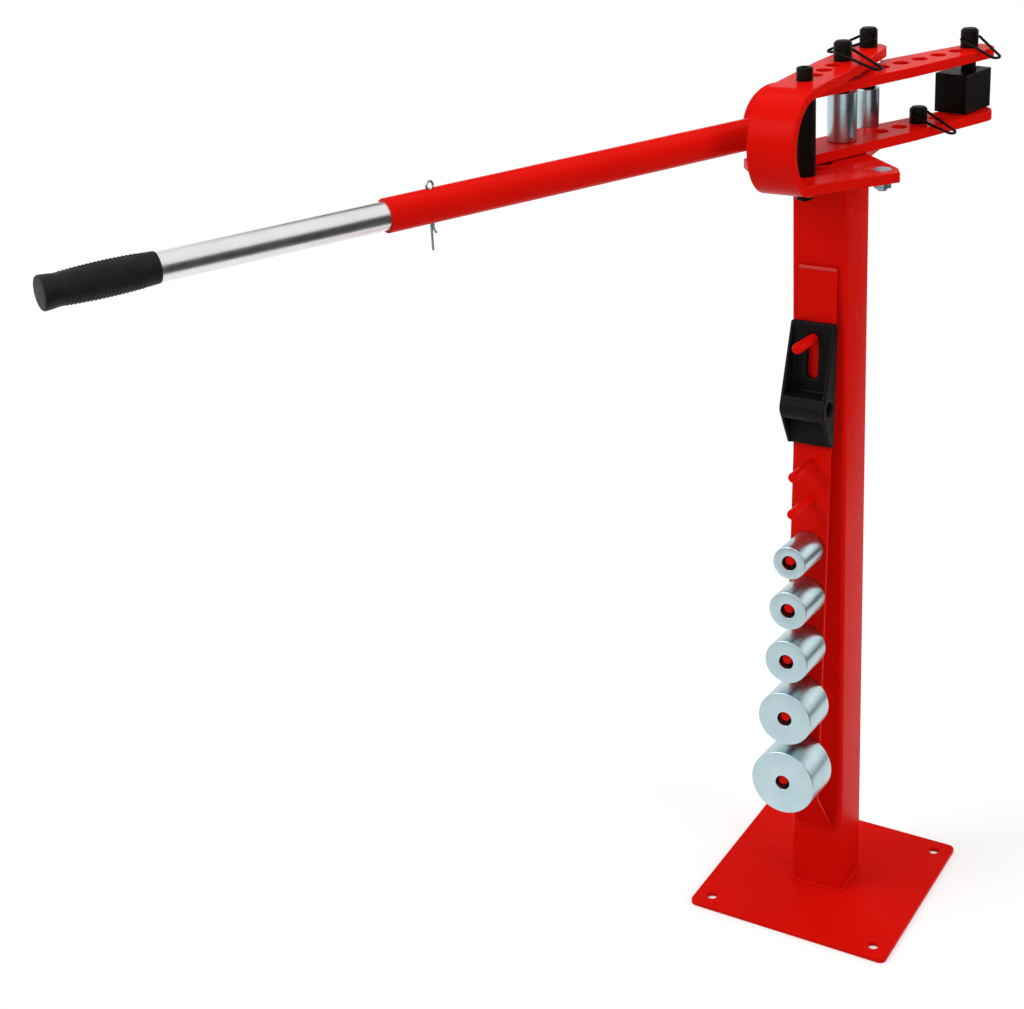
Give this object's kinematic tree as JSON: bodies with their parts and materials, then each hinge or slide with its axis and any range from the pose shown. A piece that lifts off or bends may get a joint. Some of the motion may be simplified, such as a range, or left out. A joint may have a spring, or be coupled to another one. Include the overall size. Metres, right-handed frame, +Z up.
{
  "type": "bar bender",
  "caption": "Floor-standing manual bar bender: post on a square base, U-shaped head with a long swinging lever, removable pins, and a rack of forming dies.",
  "frame": {"origin": "centre of the base plate's underside, at the middle of its four floor holes", "axes": "+Z up along the post; the rack of dies faces -Y; +X to the right seen from the front"},
  "size_m": [0.5263, 1.0166, 1.036],
  "materials": {
    "red_paint": "gloss",
    "zinc_plate": "satin",
    "black_oxide": "satin",
    "black_cast": "matte",
    "satin_chrome": "satin",
    "black_rubber": "matte"
  },
  "bodies": {
    "stand": {"base_plate": "red_paint", "foot_weld": "red_paint", "post_tube": "red_paint", "post_cap": "red_paint", "head_weld": "red_paint", "rack_strip": "red_paint", "rack_pegs": "red_paint", "frame_top": "red_paint", "frame_bend": "red_paint", "frame_foot": "red_paint", "ear_bolts": "zinc_plate", "ear_nuts": "zinc_plate", "roller_screw": "black_oxide", "roller_nut": "black_oxide"},
    "lever": {"upper_arm": "red_paint", "lever_bend": "red_paint", "lower_arm": "red_paint", "pivot_washer": "zinc_plate", "handle_tube": "red_paint", "extension_tube": "satin_chrome", "grip": "black_rubber"},
    "stop_roller": {"stop_roller": "black_oxide"},
    "cotter_pin": {"cotter_pin": "zinc_plate"},
    "forming_block": {"forming_block": "black_oxide"},
    "centre_pin": {"centre_pin": "black_oxide"},
    "holding_pin": {"holding_pin": "black_oxide"},
    "forming_pin": {"forming_pin": "black_oxide"},
    "stop_pin": {"stop_pin": "black_oxide"},
    "centre_bail": {"centre_bail": "black_oxide"},
    "holding_bail": {"holding_bail": "black_oxide"},
    "forming_bail": {"forming_bail": "black_oxide"},
    "stop_bail": {"stop_bail": "black_oxide"},
    "die_32": {"die_32": "zinc_plate"},
    "die_25": {"die_25": "zinc_plate"},
    "die_38": {"die_38": "zinc_plate"},
    "die_44": {"die_44": "zinc_plate"},
    "die_51": {"die_51": "zinc_plate"},
    "die_63": {"die_63": "zinc_plate"},
    "die_76": {"die_76": "zinc_plate"},
    "angle_die": {"angle_die": "black_cast"}
  },
  "joints": [
    {"name": "lever_swing", "type": "hinge", "parent": "stand", "child": "lever", "pos_m": [0, 0.034, 0.95825], "axis": [0, 0, 1], "range_deg": [-118, 0]},
    {"name": "roller_spin", "type": "hinge", "parent": "stand", "child": "stop_roller", "pos_m": [0, -0.0676, 0.96], "axis": [0, 0, 1], "continuous": true},
    {"name": "centre_die_spin", "type": "hinge", "parent": "lever", "child": "die_32", "pos_m": [0, 0.034, 0.955], "axis": [0, 0, 1], "continuous": true},
    {"name": "holding_die_spin", "type": "hinge", "parent": "stand", "child": "die_25", "pos_m": [0, 0.108, 0.943], "axis": [0, 0, 1], "continuous": true},
    {"name": "block_turn", "type": "hinge", "parent": "lever", "child": "forming_block", "pos_m": [0.07878, 0.21029, 0.95], "axis": [0, 0, 1], "continuous": true},
    {"name": "centre_pin_lift", "type": "slide", "parent": "stand", "child": "centre_pin", "axis": [0, 0, 1], "range_m": [0, 0.12]},
    {"name": "holding_pin_lift", "type": "slide", "parent": "stand", "child": "holding_pin", "axis": [0, 0, 1], "range_m": [0, 0.12]},
    {"name": "forming_pin_lift", "type": "slide", "parent": "lever", "child": "forming_pin", "axis": [0, 0, 1], "range_m": [0, 0.1]},
    {"name": "stop_pin_lift", "type": "slide", "parent": "lever", "child": "stop_pin", "axis": [0, 0, 1], "range_m": [0, 0.02]},
    {"name": "centre_bail_swing", "type": "hinge", "parent": "centre_pin", "child": "centre_bail", "pos_m": [0, 0.034, 1.0255], "axis": [-0.2924, -0.9563, 0], "range_deg": [0, 110]},
    {"name": "holding_bail_swing", "type": "hinge", "parent": "holding_pin", "child": "holding_bail", "pos_m": [0, 0.108, 1.0255], "axis": [-0.829, 0.5592, 0], "range_deg": [0, 110]},
    {"name": "forming_bail_swing", "type": "hinge", "parent": "forming_pin", "child": "forming_bail", "pos_m": [0.07878, 0.21029, 1.0095], "axis": [-0.5548, -0.832, 0], "range_deg": [0, 110]},
    {"name": "stop_bail_swing", "type": "hinge", "parent": "stop_pin", "child": "stop_bail", "pos_m": [0.04875, 0.13484, 0.939], "axis": [-0.342, -0.9397, 0], "range_deg": [0, 40]},
    {"name": "die_38_off", "type": "slide", "parent": "stand", "child": "die_38", "axis": [0, -0.9973, 0.0728], "range_m": [0, 0.06]},
    {"name": "die_44_off", "type": "slide", "parent": "stand", "child": "die_44", "axis": [0, -0.9973, 0.0728], "range_m": [0, 0.06]},
    {"name": "die_51_off", "type": "slide", "parent": "stand", "child": "die_51", "axis": [0, -0.9973, 0.0728], "range_m": [0, 0.06]},
    {"name": "die_63_off", "type": "slide", "parent": "stand", "child": "die_63", "axis": [0, -0.9973, 0.0728], "range_m": [0, 0.06]},
    {"name": "die_76_off", "type": "slide", "parent": "stand", "child": "die_76", "axis": [0, -0.9973, 0.0728], "range_m": [0, 0.06]},
    {"name": "angle_die_off", "type": "slide", "parent": "stand", "child": "angle_die", "axis": [0, -0.9973, 0.0728], "range_m": [0, 0.06]},
    {"name": "cotter_pull", "type": "slide", "parent": "lever", "child": "cotter_pin", "axis": [0, 0, 1], "range_m": [0, 0.065]}
  ]
}
